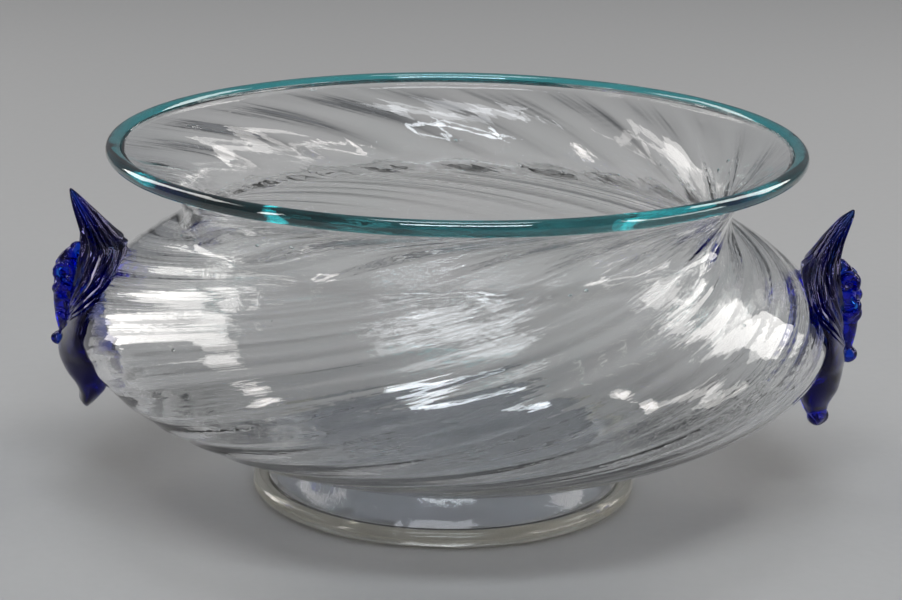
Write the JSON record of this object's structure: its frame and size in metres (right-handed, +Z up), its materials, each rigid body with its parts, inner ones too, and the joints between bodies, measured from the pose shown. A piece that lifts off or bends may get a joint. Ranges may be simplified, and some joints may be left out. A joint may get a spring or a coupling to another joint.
{
  "type": "glass finger bowl",
  "caption": "Footed blown glass bowl with a swirled ribbed belly, a wide turned-out lip edged with a coloured thread, and two fluted side handles.",
  "frame": {"origin": "on the table, under the middle of the mouth", "axes": "+Z up through the mouth; +X towards the right handle, seen from the front; +Y away from the front"},
  "size_m": [0.1478, 0.1362, 0.0653],
  "materials": {
    "clear_glass": "gloss",
    "teal_glass": "gloss",
    "foot_glass": "gloss",
    "cobalt_glass": "gloss"
  },
  "bodies": {
    "root": {"bowl_body": "clear_glass", "rim_band": "teal_glass", "foot": "foot_glass", "left_handle": "cobalt_glass", "right_handle": "cobalt_glass"}
  },
  "joints": []
}
